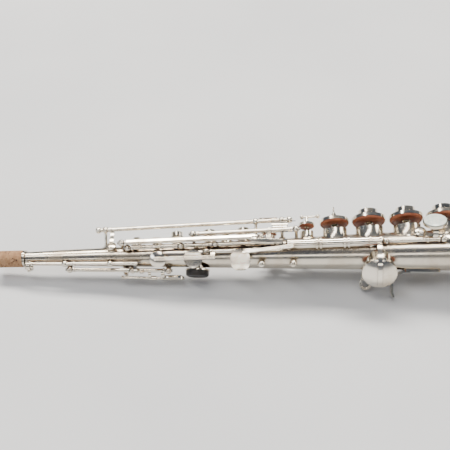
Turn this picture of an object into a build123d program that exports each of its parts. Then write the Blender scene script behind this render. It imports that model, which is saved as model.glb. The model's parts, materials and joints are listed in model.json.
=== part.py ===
"""Straight B-flat soprano saxophone: conical horn, soldered posts and tone holes, and the key work.

The bore runs along +X from the mouthpiece end to the bell. Angles around the bore are measured
from the front of the horn, where the stack of key cups is, and the horn lies rolled on the table.
"""

import os
from collections import namedtuple
from math import atan, cos, radians, sin, sqrt

from build123d import *

os.makedirs("parts", exist_ok=True)

# --- the horn ---
BORE_START = 9.4          # bore diameter at the mouthpiece end
BORE_GAIN = 0.0625        # bore diameter gained per millimetre of length
WALL = 0.7
BODY_LENGTH = 575.0
CONE_LENGTHS, CONE_WAIST = 24, 0.02   # the cone is drawn in short lengths, a hair slimmer halfway
HORN_LENGTH = 640.0
BELL_RADIUS = 44.0        # middle of the wall at the mouth
BELL_THROAT_AT = 612.0
BELL_THROAT_RADIUS = 25.6
RIM_BEAD = 1.7
TAPER = atan(BORE_GAIN / 2)
ROLL = -54.0              # how far the horn is rolled from stack-up

# --- soldered fittings ---
CORK_START, CORK_END, CORK_RADIUS = 0.0, 27.0, 7.75
FERRULE_WIDTH, FERRULE_RISE = 2.4, 1.5
BELL_FERRULE_AT, BELL_FERRULE_WIDTH = 570.4, 4.5
CHIMNEY_WALL = 0.8
CHIMNEY_SHARE = 0.82      # chimney radius over cup radius
CHIMNEY_FLARE = 0.07      # how far the foot of a chimney spreads, over its cup radius
STEM, FOOT, FOOT_THICK, BALL = 1.4, 2.8, 0.9, 3.0
SINK = 2.0                # how far a foot is drawn into the wall before it is trimmed

# --- key work ---
ROD = 1.0                 # steel hinge rod
ROD_FIT = 0.05
KEY_TUBE, LONG_TUBE, THICK_TUBE = 2.0, 1.8, 4.2
COLLAR_RISE, COLLAR_WIDTH = 0.5, 1.6
END_GAP = 0.35
GUIDE_GAP, GUIDE_WALL, GUIDE_WIDTH = 0.35, 1.1, 3.0
PAD_GAP = 0.35            # a closed pad stays this far off its rim
PAD_SHOW_SHARE = 0.45      # how much of a pad's thickness shows below its cup
PAD_BASE, PAD_GAIN = 1.2, 0.2
SKIRT = 0.7
DOME_SHARE = 0.25
ARM_WIDTH, ARM_THICK = 4.4, 1.5
PAST_CROWN = 0.9          # how far an arm runs on past the middle of its cup
PEARL_THICK, HOLDER_RISE, HOLDER_WALL, HOLDER_FLOOR = 3.4, 3.2, 0.8, 1.6
BUTTON_GAP = 0.02
OPEN_ANGLE = 11.0         # how far a cup stands open at rest
PAD_ROUND_SHARE = 0.35

LOW_RIM, LEFT_RIM, STACK_RIM, BELL_RIM = 1.5, 2.6, 5.4, 5.0
Hole = namedtuple("Hole", "station around cup rim", defaults=[LOW_RIM])
Line = namedtuple("Line", "around height tube")

# --- tone holes: distance from the mouthpiece end, angle, radius of the key cup, height of the rim ---
NECK_VENT = Hole(34.0, 155.0, 4.0)
BODY_VENT = Hole(124.0, 192.0, 4.2)
SIDE_E = Hole(112.0, 50.0, 4.6)
B_SMALL = Hole(134.0, -5.0, 4.6, LEFT_RIM)
SIDE_BB = Hole(152.5, 0.0, 5.2)
PALM_D = Hole(156.0, 112.0, 7.4)
B_HOLE = Hole(171.0, -5.0, 5.8, LEFT_RIM)
A_HOLE = Hole(201.0, -5.0, 6.2, LEFT_RIM)
SIDE_C = Hole(216.5, 0.0, 6.0)
G_UPPER = Hole(232.0, -5.0, 6.8, LEFT_RIM)
G_LOWER = Hole(255.0, -5.0, 7.0, LEFT_RIM)
F_SHARP_SMALL = Hole(289.0, 360.0, 7.2, BELL_RIM)
F_SHARP = Hole(314.0, 360.0, 13.2, STACK_RIM)
F_HOLE = Hole(344.5, 360.0, 15.0, STACK_RIM)
BACK_HOLE = Hole(351.5, 147.0, 15.0, BELL_RIM)
E_HOLE = Hole(377.5, 360.0, 15.0, STACK_RIM)
TRILL = Hole(387.0, 56.0, 5.0)
D_HOLE = Hole(410.0, 360.0, 15.0, STACK_RIM)
LOW_EB = Hole(458.0, 137.0, 12.0, BELL_RIM)
LOW_C = Hole(476.0, 0.0, 16.5, BELL_RIM)
LOW_CS = Hole(486.0, 180.0, 12.0, BELL_RIM)
LOW_B = Hole(514.5, 360.0, 17.5, BELL_RIM)
LOW_BB = Hole(553.0, 360.0, 18.0, BELL_RIM)
HOLES = [NECK_VENT, BODY_VENT, SIDE_E, B_SMALL, SIDE_BB, PALM_D, B_HOLE, A_HOLE, SIDE_C, G_UPPER,
         G_LOWER, F_SHARP_SMALL, F_SHARP, F_HOLE, BACK_HOLE, E_HOLE, TRILL, D_HOLE, LOW_EB, LOW_C,
         LOW_CS, LOW_B, LOW_BB]

# --- hinge lines: angle, height above the body, tube radius ---
NECK_SHAFT = Line(128.0, 4.0, 1.5)
BACK_ROD = Line(164.0, 4.4, LONG_TUBE)
RAIL = Line(65.0, 4.2, KEY_TUBE)
HIGH_SHAFT = Line(14.0, 16.0, LONG_TUBE)
SIDE_ROD = Line(46.0, 12.0, LONG_TUBE)
LINK_ROD = Line(60.0, 10.0, LONG_TUBE)
PALM_ROD = Line(88.0, 3.4, LONG_TUBE)
THICK_ROD = Line(76.0, 5.4, THICK_TUBE)
TRILL_ROD = Line(76.0, 5.4, KEY_TUBE)
STACK_ROD = Line(301.0, 8.0, KEY_TUBE)
LOW_C_ROD = Line(60.0, 5.0, KEY_TUBE)
LOW_EB_ROD = Line(92.0, 5.0, KEY_TUBE)
LOW_CS_ROD = Line(246.0, 6.0, KEY_TUBE)
LOW_BB_ROD = Line(263.0, 6.0, KEY_TUBE)
LOW_B_ROD = Line(280.0, 6.0, KEY_TUBE)


# --- places on the horn ---
def radial(around):
    angle = radians(around + ROLL)
    return Vector(0, -sin(angle), cos(angle))


def tangent(around):
    angle = radians(around + ROLL)
    return Vector(0, -cos(angle), -sin(angle))


def along(around):
    return Vector(cos(TAPER), 0, 0) + radial(around) * sin(TAPER)


def outward(around):
    return radial(around) * cos(TAPER) - Vector(sin(TAPER), 0, 0)


def wall_radius(station):
    return BORE_START / 2 + station * BORE_GAIN / 2 + WALL


def spot(station, around, height):
    return Vector(station, 0, 0) + radial(around) * (wall_radius(station) + height)


def seat(station, around, height):
    foot = spot(station, around, 0)
    return Plane(origin=foot + outward(around) * height, x_dir=along(around), z_dir=outward(around))


def above(hole, height):
    """A point on the axis of a cup."""
    return seat(hole.station, hole.around, height).origin


def across(around, reach, aside=0.0):
    """A point of the cross-section plane: out along an angle and then aside, round the bore."""
    place = radial(around) * reach + tangent(around) * aside
    return (place.Y, place.Z)


def at(station, around, height):
    """A point of the cross-section at a station, this high above the wall."""
    return across(around, wall_radius(station) + height)


# --- shapes that repeat ---
def rod_between(start, end, radius):
    with BuildPart() as piece:
        with BuildSketch(Plane(origin=start, z_dir=end - start)):
            Circle(radius)
        extrude(amount=(end - start).length)
    return piece.part


def pipe_between(start, end, radius, bore):
    with BuildPart() as piece:
        with BuildSketch(Plane(origin=start, z_dir=end - start)):
            Circle(radius)
            Circle(bore, mode=Mode.SUBTRACT)
        extrude(amount=(end - start).length)
    return piece.part


def bar_between(start, end, up, width, thick):
    with BuildPart() as piece:
        with BuildSketch(Plane(origin=start, x_dir=up, z_dir=end - start)):
            RectangleRounded(thick, width, thick * 0.3)
        extrude(amount=(end - start).length)
    return piece.part


def ball_at(centre, radius):
    with BuildPart() as piece:
        with Locations(centre):
            Sphere(radius)
    return piece.part


def ball_on(line, station, radius):
    """A ball whose poles lie on a hinge line, so that a bore opens both of them."""
    place = Plane(origin=on_line(line, station), x_dir=outward(line.around), z_dir=along(line.around))
    with BuildPart() as piece:
        with Locations(place):
            Sphere(radius)
    return piece.part


def on_line(line, station):
    return spot(station, line.around, line.height)


def strap(station, points, width, thick):
    """A bent metal strap that stands across the horn."""
    with BuildPart() as piece:
        with BuildSketch(Plane.YZ.offset(station - width / 2)):
            with BuildLine():
                Spline(*points)
            trace(line_width=thick)
        extrude(amount=width)
    return piece.part


def trimmed(pieces, cutters):
    """Pieces made one and cleared of what they must not fill."""
    with BuildPart() as piece:
        for shape in pieces:
            add(shape)
        for cutter in cutters:
            add(cutter, mode=Mode.SUBTRACT)
    return piece.part


def core_of_horn():
    with BuildPart() as piece:
        with BuildSketch(Plane.XY):
            with BuildLine():
                Polyline((-1, 0), (BODY_LENGTH, 0), (BODY_LENGTH, wall_radius(BODY_LENGTH)),
                         (-1, wall_radius(-1)), close=True)
            make_face()
        revolve(axis=Axis.X)
    return piece.part


CORE = core_of_horn()


# --- tone holes and cups ---
def chimney_radius(hole):
    return hole.cup * CHIMNEY_SHARE


def pad_thickness(hole):
    return PAD_BASE + PAD_GAIN * hole.cup


def pad_height(hole):
    return hole.rim + PAD_GAP


def edge_height(hole):
    return pad_height(hole) + pad_thickness(hole) + SKIRT


def crown_height(hole):
    return edge_height(hole) + DOME_SHARE * hole.cup


def drill(hole):
    depth = wall_radius(hole.station) * 0.9
    with BuildPart() as piece:
        with BuildSketch(seat(hole.station, hole.around, -depth)):
            Circle(chimney_radius(hole) - CHIMNEY_WALL)
        extrude(amount=depth + hole.rim)
    return piece.part


def chimney(hole):
    """A drawn tone hole: a short pipe whose foot spreads into the body."""
    body = wall_radius(hole.station)
    radius = chimney_radius(hole)
    inner = radius - CHIMNEY_WALL
    flare = CHIMNEY_FLARE * hole.cup
    drop = body - sqrt(body ** 2 - radius ** 2)
    depth = body * 0.9
    base = seat(hole.station, hole.around, 0)
    with BuildPart() as piece:
        with BuildSketch(Plane(origin=base.origin, x_dir=base.x_dir, z_dir=-base.y_dir)):
            with BuildLine():
                Polyline((radius, hole.rim * 0.3), (radius, hole.rim), (inner, hole.rim), (inner, -depth),
                         (radius + flare, -depth), (radius + flare, -drop))
                TangentArc((radius, hole.rim * 0.3), (radius + flare, -drop), tangent=(0, -1))
            make_face()
        revolve(axis=Axis(base.origin, base.z_dir))
        add(CORE, mode=Mode.SUBTRACT)
    return piece.part


def cup(hole):
    base = seat(hole.station, hole.around, pad_height(hole))
    top = pad_thickness(hole)
    show = top * PAD_SHOW_SHARE
    inner = hole.cup - SKIRT
    crown = top + SKIRT + DOME_SHARE * hole.cup
    with BuildPart() as piece:
        with BuildSketch(Plane(origin=base.origin, x_dir=base.x_dir, z_dir=-base.y_dir)):
            with BuildLine():
                Polyline((0, crown), (0, top), (inner, top), (inner, show), (hole.cup, show),
                         (hole.cup, top + SKIRT))
                TangentArc((0, crown), (hole.cup, top + SKIRT), tangent=(1, 0))
            make_face()
        revolve(axis=Axis(base.origin, base.z_dir))
    return piece.part


def pad(hole):
    with BuildPart() as piece:
        with BuildSketch(seat(hole.station, hole.around, pad_height(hole))):
            Circle(hole.cup - SKIRT)
        extrude(amount=pad_thickness(hole))
        underside = piece.faces().sort_by(Axis(above(hole, 0), outward(hole.around)))[0]
        fillet(underside.edges(), pad_thickness(hole) * PAD_ROUND_SHARE)
    return piece.part


def cup_arm(line, hole, knee=True, width=ARM_WIDTH, over=False):
    """The strap from a hinge tube over the edge of the cup to its crown, or over it to the far side."""
    radius = wall_radius(hole.station)
    side = 1 if line.around > hole.around else -1
    pad_top = pad_height(hole) + pad_thickness(hole)
    beside_pad = radius + pad_height(hole) + pad_thickness(hole) * 0.6
    over_edge = radius + edge_height(hole) + ARM_THICK * 0.75
    points = [across(line.around, radius + line.height)]
    if knee:
        points.append(across(hole.around, beside_pad, side * (hole.cup + ARM_THICK)))
    points.append(across(hole.around, over_edge, side * hole.cup * 0.8))
    points.append(across(hole.around, radius + crown_height(hole) + 0.15, -side * PAST_CROWN))
    if over:
        points.append(across(hole.around, over_edge, -side * hole.cup * 0.75))
    pad_room = rod_between(above(hole, 0), above(hole, pad_top), hole.cup - SKIRT)
    return trimmed([strap(hole.station, points, width, ARM_THICK)], [pad_room])


def pearl_holder(hole, radius):
    low = above(hole, crown_height(hole) - 0.6)
    high = above(hole, crown_height(hole) + HOLDER_RISE)
    return rod_between(low, high, radius + HOLDER_WALL)


def pearl_recess(hole, radius):
    floor = above(hole, crown_height(hole) + HOLDER_FLOOR)
    return rod_between(floor, above(hole, crown_height(hole) + HOLDER_RISE * 3), radius)


def button(base, radius):
    """A domed round plate, flat below."""
    with BuildPart() as piece:
        with BuildSketch(Plane(origin=base.origin, x_dir=base.x_dir, z_dir=-base.y_dir)):
            with BuildLine():
                Polyline((0, PEARL_THICK), (0, 0), (radius, 0), (radius, PEARL_THICK * 0.6))
                TangentArc((0, PEARL_THICK), (radius, PEARL_THICK * 0.6), tangent=(1, 0))
            make_face()
        revolve(axis=Axis(base.origin, base.z_dir))
    return piece.part


def pearl(hole, radius):
    """The button in the holder of a cup."""
    floor = crown_height(hole) + HOLDER_FLOOR + BUTTON_GAP
    return button(seat(hole.station, hole.around, floor), radius - ROD_FIT)


# --- posts and tubes ---
def post(line, station, foot_around=None, foot_station=None, bore=ROD):
    """A ball on a stem, with a foot soldered to the body."""
    foot_around = line.around if foot_around is None else foot_around
    foot_station = station if foot_station is None else foot_station
    top = on_line(line, station)
    foot = spot(foot_station, foot_around, -SINK)
    ledge = spot(foot_station, foot_around, FOOT_THICK)
    pieces = [ball_on(line, station, BALL), rod_between(foot, top, STEM), rod_between(foot, ledge, FOOT)]
    reach = along(line.around) * (BALL + 1)
    return trimmed(pieces, [CORE, rod_between(top - reach, top + reach, bore)])


def guide(line, station):
    """A ring on a stem in which a long key tube turns."""
    middle = on_line(line, station)
    half = along(line.around) * (GUIDE_WIDTH / 2)
    inner = line.tube + GUIDE_GAP
    foot = spot(station, line.around, -SINK)
    ledge = spot(station, line.around, FOOT_THICK)
    pieces = [rod_between(foot, middle, STEM), rod_between(foot, ledge, FOOT),
              rod_between(middle - half, middle + half, inner + GUIDE_WALL)]
    return trimmed(pieces, [CORE, rod_between(middle - half * 3, middle + half * 3, inner)])


def posted(line, start, end):
    """Where a key tube starts and ends between two posts."""
    clear = BALL + END_GAP
    return start + clear, end - clear


def tube(line, start, end):
    return rod_between(on_line(line, start), on_line(line, end), line.tube)


def collar(line, station, rise=COLLAR_RISE):
    half = along(line.around) * (COLLAR_WIDTH / 2)
    middle = on_line(line, station)
    return rod_between(middle - half, middle + half, line.tube + rise)


def tube_bore(line, start, end):
    return rod_between(on_line(line, start - 1), on_line(line, end + 1), ROD + ROD_FIT)


def hinged_key(line, start, end, pieces, cuts=()):
    """A key on a tube between two posts, bored for its steel rod."""
    first, last = posted(line, start, end)
    inset = COLLAR_WIDTH / 2 + 0.05
    body = [tube(line, first, last), collar(line, first + inset), collar(line, last - inset)]
    return trimmed(body + pieces, [tube_bore(line, first, last), *cuts])


def steel(line, start, end):
    return rod_between(on_line(line, start - BALL - 0.3), on_line(line, end + BALL + 0.3), ROD)


def lifted(part, line, hole, angle):
    """The part swung open about its hinge line."""
    side = 1 if line.around > hole.around else -1
    return part.rotate(Axis(on_line(line, hole.station), along(line.around)), side * angle)


def leaf(station, around, length, width, plate):
    """A plate cut to an oval outline."""
    with BuildPart() as piece:
        add(plate)
        with BuildSketch(seat(station, around, 0)):
            Ellipse(length / 2, width / 2)
        extrude(amount=BELL_RADIUS, mode=Mode.INTERSECT)
    return piece.part


# --- the horn itself ---
def ring_on_horn(start, end, rise):
    with BuildPart() as piece:
        with BuildSketch(Plane.XY):
            with BuildLine():
                Polyline((start, wall_radius(start)), (end, wall_radius(end)),
                         (end, wall_radius(end) + rise), (start, wall_radius(start) + rise), close=True)
            make_face()
        revolve(axis=Axis.X)
    return piece.part


def waist(station):
    """How far the drawn cone stays inside the straight one: nothing at its ends, most halfway."""
    share = station / BODY_LENGTH
    return CONE_WAIST * 4 * share * (1 - share)


with BuildPart() as body_tube:
    rings = [BODY_LENGTH * step / CONE_LENGTHS for step in range(CONE_LENGTHS + 1)]
    outside = [(station, wall_radius(station) - waist(station)) for station in rings]
    inside = [(station, radius - WALL) for station, radius in reversed(outside)]
    with BuildSketch(Plane.XY):
        with BuildLine():
            Polyline(*outside, *inside, close=True)
        make_face()
    revolve(axis=Axis.X)
    add([drill(hole) for hole in HOLES], mode=Mode.SUBTRACT)

with BuildPart() as bell:
    with BuildSketch(Plane.XY):
        with BuildLine():
            Spline((BODY_LENGTH + 0.05, wall_radius(BODY_LENGTH) - WALL / 2),
                   (BELL_THROAT_AT, BELL_THROAT_RADIUS),
                   (HORN_LENGTH - RIM_BEAD, BELL_RADIUS),
                   tangents=[(1, BORE_GAIN / 2), (0.5, 1)])
        trace(line_width=WALL)
    revolve(axis=Axis.X)
    with BuildSketch(Plane.XY):
        with Locations((HORN_LENGTH - RIM_BEAD, BELL_RADIUS + RIM_BEAD * 0.3)):
            Circle(RIM_BEAD)
    revolve(axis=Axis.X)

with BuildPart() as ferrules:
    add([ring_on_horn(CORK_END + 0.3, CORK_END + FERRULE_WIDTH, FERRULE_RISE),
         ring_on_horn(BELL_FERRULE_AT, BELL_FERRULE_AT + BELL_FERRULE_WIDTH, 1.0)])

with BuildPart() as neck_cork:
    with BuildSketch(Plane.XY):
        with BuildLine():
            Polyline((CORK_START, wall_radius(CORK_START)), (CORK_END, wall_radius(CORK_END)),
                     (CORK_END, CORK_RADIUS), (CORK_START, CORK_RADIUS), close=True)
        make_face()
    revolve(axis=Axis.X)

with BuildPart() as tone_hole_chimneys:
    add([chimney(hole) for hole in HOLES])

# --- thumb rest, thumb hook, strap ring ---
REST_AT, REST_SEAT_RADIUS, REST_RADIUS, REST_FOOT = 190.0, 11.0, 10.5, 7.0
REST_LOW, REST_SEAT_HEIGHT, REST_HEIGHT = 1.9, 3.2, 8.4
BACK = 180.0

rest_low = seat(REST_AT, BACK, -SINK * 2).origin
rest_plate = seat(REST_AT, BACK, REST_LOW).origin
rest_top = seat(REST_AT, BACK, REST_SEAT_HEIGHT).origin
with BuildPart() as thumb_rest_seat:
    add(trimmed([rod_between(rest_low, rest_top, REST_FOOT),
                 rod_between(rest_plate, rest_top, REST_SEAT_RADIUS)], [CORE]))

with BuildPart() as thumb_rest_button:
    with BuildSketch(seat(REST_AT, BACK, REST_SEAT_HEIGHT + 0.02)):
        Circle(REST_RADIUS)
    extrude(amount=REST_HEIGHT - REST_SEAT_HEIGHT)
    fillet(thumb_rest_button.faces().sort_by(Axis(spot(REST_AT, BACK, 0), outward(BACK)))[-1].edges(), 2.4)

HOOK_AROUND, HOOK_BEND_AT, HOOK_END_AT = 190.0, 372.0, 405.0
HOOK_WIDTH, HOOK_THICK, HOOK_PLATE, HOOK_REACH = 13.0, 2.2, 1.3, 24.2
hook_plane = Plane(origin=spot(HOOK_BEND_AT, HOOK_AROUND, 0), x_dir=along(HOOK_AROUND),
                   z_dir=-seat(HOOK_BEND_AT, HOOK_AROUND, 0).y_dir)
with BuildPart() as thumb_hook:
    with BuildSketch(seat(HOOK_BEND_AT, HOOK_AROUND, -SINK)):
        with Locations(((HOOK_END_AT - HOOK_BEND_AT) / 2, 0)):
            RectangleRounded(HOOK_END_AT - HOOK_BEND_AT, HOOK_WIDTH, HOOK_WIDTH * 0.3)
    extrude(amount=SINK + HOOK_PLATE)
    with BuildSketch(hook_plane):
        with BuildLine():
            Spline((6.8, 1.0), (-1.2, 1.9), (-5.9, 5.2), (-8.9, 11.5), (-9.1, 17.0), (-7.4, HOOK_REACH),
                   tangents=[(-1, 0.0), (0.45, 1)])
        trace(line_width=HOOK_THICK)
    extrude(amount=HOOK_WIDTH / 2 - 0.5, both=True)
    add(CORE, mode=Mode.SUBTRACT)

RING_AT, RING_AROUND, RING_HEIGHT = 340.0, 204.0, 13.6
RING_RADIUS, RING_BORE, RING_THICK = 5.6, 3.4, 3.6
RING_STEM, RING_COLLAR = 2.2, 3.8
ring_side = seat(RING_AT, RING_AROUND, RING_HEIGHT).y_dir
ring_middle = spot(RING_AT, RING_AROUND, RING_HEIGHT)
ring_half = ring_side * (RING_THICK / 2)
with BuildPart() as strap_ring:
    add(pipe_between(ring_middle - ring_half, ring_middle + ring_half, RING_RADIUS, RING_BORE))
    fillet(strap_ring.edges().filter_by(GeomType.CIRCLE), 0.45)
    ring_low = RING_HEIGHT - RING_RADIUS
    add(rod_between(spot(RING_AT, RING_AROUND, -SINK), spot(RING_AT, RING_AROUND, ring_low + 1.2), RING_STEM))
    add(rod_between(spot(RING_AT, RING_AROUND, ring_low - 2.4), spot(RING_AT, RING_AROUND, ring_low - 0.8),
                    RING_COLLAR))
    with BuildSketch(seat(RING_AT, RING_AROUND, -SINK)):
        RectangleRounded(6.0, 4.4, 1.6)
    extrude(amount=SINK + FOOT_THICK)
    add(CORE, mode=Mode.SUBTRACT)


# --- keys of the left hand ---
with BuildPart() as neck_octave_key:
    add(trimmed([tube(NECK_SHAFT, 32.2, 136.8), collar(NECK_SHAFT, 38.0), collar(NECK_SHAFT, 78.0, 0.8),
                 cup(NECK_VENT), cup_arm(NECK_SHAFT, NECK_VENT, width=3.2),
                 ball_at(spot(NECK_VENT.station, NECK_VENT.around, crown_height(NECK_VENT) + 1.1), 1.8),
                 strap(135.0, [at(135.0, 128.0, 4.0), at(135.0, 139.0, 7.0),
                               at(135.0, 148.0, 9.0)], 3.0, 1.4)], []))
with BuildPart() as neck_octave_pad:
    add(pad(NECK_VENT))

with BuildPart() as body_octave_key:
    add(hinged_key(BACK_ROD, 72.0, 131.0,
                   [cup(BODY_VENT), cup_arm(BACK_ROD, BODY_VENT, width=3.4),
                    ball_at(spot(BODY_VENT.station, BODY_VENT.around, crown_height(BODY_VENT) + 1.6), 1.7)]))
with BuildPart() as body_octave_pad:
    add(pad(BODY_VENT))

PLATE_AT = 168.0
with BuildPart() as octave_lever:
    lever_plate = strap(PLATE_AT, [at(PLATE_AT, 170.0, 9.0), at(PLATE_AT, 186.0, 10.4),
                                   at(PLATE_AT, 204.0, 9.0)], 30.0, 2.4)
    bar_start, bar_end = spot(121.0, 178.0, 10.0), spot(160.5, 183.0, 10.2)
    block_start, block_end = spot(145.5, 181.0, 10.1), spot(152.0, 182.0, 10.15)
    add(hinged_key(BACK_ROD, 131.0, 164.0,
                   [rod_between(bar_start, bar_end, 1.2), ball_at(bar_start, 1.6),
                    rod_between(block_start, block_end, 2.0),
                    leaf(PLATE_AT, 186.0, 20.0, 13.0, lever_plate),
                    strap(158.6, [at(158.6, 164.0, 4.4), at(158.6, 172.0, 8.6),
                                  at(158.6, 188.0, 10.0)], 3.2, 1.5),
                    strap(146.5, [at(146.5, 164.0, 4.4), at(146.5, 172.0, 8.4),
                                  at(146.5, 181.0, 10.1)], 2.6, 1.5),
                    strap(140.0, [at(140.0, 164.0, 4.4), at(140.0, 156.0, 8.2),
                                  at(140.0, 150.0, 9.6)], 3.0, 1.4)]))

with BuildPart() as side_e_key:
    high_plate = strap(252.0, [at(252.0, 18.0, 17.0), at(252.0, 10.0, 18.6),
                               at(252.0, -6.0, 16.5)], 30.0, 1.4)
    add(trimmed([tube(HIGH_SHAFT, 100.0, 272.8), collar(HIGH_SHAFT, 110.4), collar(HIGH_SHAFT, 259.0, 0.9),
                 cup(SIDE_E), cup_arm(HIGH_SHAFT, SIDE_E, knee=False, width=3.4),
                 ball_at(on_line(HIGH_SHAFT, 273.6), BALL), ball_at(on_line(HIGH_SHAFT, 99.0), BALL),
                 leaf(255.0, 7.0, 16.0, 9.5, high_plate)], []))
with BuildPart() as side_e_pad:
    add(pad(SIDE_E))

with BuildPart() as side_c_key:
    side_touch = strap(266.0, [at(266.0, 46.0, 12.0), at(266.0, 38.0, 15.6),
                               at(266.0, 28.0, 15.0)], 20.0, 1.5)
    add(hinged_key(SIDE_ROD, 188.0, 280.0,
                   [cup(SIDE_C), cup_arm(SIDE_ROD, SIDE_C, knee=False), collar(SIDE_ROD, 204.0, 0.8),
                    leaf(266.0, 38.0, 14.0, 12.5, side_touch), collar(SIDE_ROD, 256.5, 1.0)]))
with BuildPart() as side_c_pad:
    add(pad(SIDE_C))

with BuildPart() as side_bb_key:
    link_start, link_end = on_line(LINK_ROD, 128.0), on_line(LINK_ROD, 244.0)
    rise = outward(LINK_ROD.around) * 1.6
    add(hinged_key(LINK_ROD, 123.0, 249.0,
                   [cup(SIDE_BB), cup_arm(LINK_ROD, SIDE_BB, knee=False),
                    bar_between(link_start + rise, link_end + rise, outward(LINK_ROD.around), 3.0, 1.2),
                    strap(243.0, [at(243.0, 60.0, 11.0), at(243.0, 66.0, 12.4),
                                  at(243.0, 72.0, 12.6)], 4.0, 1.5),
                    bar_between(spot(241.0, 72.2, 12.7), spot(268.0, 75.0, 10.8), outward(73.0), 4.4, 1.5)]))
with BuildPart() as side_bb_pad:
    add(pad(SIDE_BB))

with BuildPart() as palm_d_key:
    palm_plate = strap(188.5, [at(188.5, 82.0, 8.0), at(188.5, 102.0, 6.4),
                               at(188.5, 118.0, 6.0), at(188.5, 140.0, 8.2)],
                       30.0, 1.5)
    palm_top = crown_height(PALM_D)
    add(hinged_key(PALM_ROD, 200.0, 243.5,
                   [cup(PALM_D), leaf(188.5, 110.0, 17.0, 16.5, palm_plate),
                    bar_between(spot(153.0, 109.0, palm_top), spot(208.0, 106.0, palm_top + 0.4),
                                outward(107.0), 3.4, 1.6),
                    strap(206.0, [at(206.0, 88.0, 3.4), at(206.0, 97.0, 5.4),
                                  at(206.0, 107.0, palm_top + 0.4)], 3.6, 1.5)]))
with BuildPart() as palm_d_pad:
    add(pad(PALM_D))

LEFT_PEARL = 4.6
with BuildPart() as b_key:
    add(hinged_key(RAIL, 128.0, 177.0,
                   [cup(B_SMALL), cup_arm(RAIL, B_SMALL), cup(B_HOLE), cup_arm(RAIL, B_HOLE),
                    pearl_holder(B_HOLE, LEFT_PEARL), collar(RAIL, 143.0), collar(RAIL, 160.0)],
                   [pearl_recess(B_HOLE, LEFT_PEARL)]))
with BuildPart() as b_pads:
    add([pad(B_SMALL), pad(B_HOLE)])
with BuildPart() as b_pearl:
    add(pearl(B_HOLE, LEFT_PEARL))

with BuildPart() as a_key:
    add(hinged_key(RAIL, 177.0, 208.0, [cup(A_HOLE), cup_arm(RAIL, A_HOLE), pearl_holder(A_HOLE, LEFT_PEARL)],
                   [pearl_recess(A_HOLE, LEFT_PEARL)]))
with BuildPart() as a_pad:
    add(pad(A_HOLE))
with BuildPart() as a_pearl:
    add(pearl(A_HOLE, LEFT_PEARL))

with BuildPart() as g_key:
    add(hinged_key(RAIL, 208.0, 263.5,
                   [cup(G_UPPER), cup_arm(RAIL, G_UPPER), cup(G_LOWER), cup_arm(RAIL, G_LOWER),
                    pearl_holder(G_UPPER, LEFT_PEARL), collar(RAIL, 243.0)],
                   [pearl_recess(G_UPPER, LEFT_PEARL)]))
with BuildPart() as g_pads:
    add([pad(G_UPPER), pad(G_LOWER)])
with BuildPart() as g_pearl:
    add(pearl(G_UPPER, LEFT_PEARL))

THICK_COLLARS_AT, THICK_COLLAR_RISE = (298.0, 301.5, 322.0, 325.5, 344.0), 0.85
with BuildPart() as back_key:
    back_plate = strap(231.0, [at(231.0, 88.0, 9.6), at(231.0, 104.0, 7.4),
                               at(231.0, 124.0, 6.4), at(231.0, 144.0, 8.2)],
                       30.0, 1.5)
    add(lifted(hinged_key(THICK_ROD, 269.5, 357.0,
                          [cup(BACK_HOLE), cup_arm(THICK_ROD, BACK_HOLE, width=3.8, over=True),
                           leaf(231.0, 117.0, 18.0, 20.0, back_plate),
                           bar_between(spot(233.0, 97.0, 8.4), spot(277.5, 86.0, 8.6),
                                       outward(92.0), 3.6, 1.6),
                           strap(276.0, [at(276.0, 76.0, 5.0), at(276.0, 81.0, 7.4),
                                         at(276.0, 86.0, 8.3)], 4.0, 1.6),
                           *[collar(THICK_ROD, station, THICK_COLLAR_RISE)
                            for station in THICK_COLLARS_AT]]),
               THICK_ROD, BACK_HOLE, OPEN_ANGLE))
with BuildPart() as back_pad:
    add(lifted(pad(BACK_HOLE), THICK_ROD, BACK_HOLE, OPEN_ANGLE))

# --- keys of the right hand ---
RIGHT_PEARL = 7.8
DISC_AT, DISC_AROUND, DISC_HEIGHT, DISC_RADIUS = 399.0, 50.0, 12.5, 10.4
DISC_TILT = 33.0
DISC_THICK, DISC_FLOOR, DISC_WALL = 2.0, 1.0, 0.8
disc_base = Plane(origin=spot(DISC_AT, DISC_AROUND, DISC_HEIGHT), x_dir=seat(DISC_AT, DISC_TILT, 0).x_dir,
                  z_dir=outward(DISC_TILT))


def disc_point(height):
    return disc_base.origin + disc_base.z_dir * height


def disc_between(low, high, radius):
    return rod_between(disc_point(low), disc_point(high), radius)


with BuildPart() as trill_key:
    add(lifted(hinged_key(TRILL_ROD, 357.0, 406.0,
                          [cup(TRILL), cup_arm(TRILL_ROD, TRILL, width=3.6), collar(TRILL_ROD, 392.5, 0.9),
                           disc_between(0, DISC_THICK, DISC_RADIUS),
                           strap(DISC_AT, [at(DISC_AT, 76.0, 5.0), at(DISC_AT, 66.0, 10.0),
                                           at(DISC_AT, 52.0, DISC_HEIGHT + 0.2)], 4.0, 1.6)],
                          [disc_between(DISC_FLOOR, DISC_THICK * 4, DISC_RADIUS - DISC_WALL)]),
               TRILL_ROD, TRILL, OPEN_ANGLE))
with BuildPart() as trill_pad:
    add(lifted(pad(TRILL), TRILL_ROD, TRILL, OPEN_ANGLE))
with BuildPart() as trill_pearl:
    disc_seat = Plane(origin=disc_point(DISC_FLOOR + BUTTON_GAP), x_dir=disc_base.x_dir,
                      z_dir=disc_base.z_dir)
    add(lifted(button(disc_seat, DISC_RADIUS - DISC_WALL - ROD_FIT), TRILL_ROD, TRILL, OPEN_ANGLE))


def stack_metal(start, end, hole, extra, cuts=()):
    pieces = [cup(hole), cup_arm(STACK_ROD, hole, width=5.0)] + extra
    return lifted(hinged_key(STACK_ROD, start, end, pieces, cuts), STACK_ROD, hole, OPEN_ANGLE)


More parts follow.
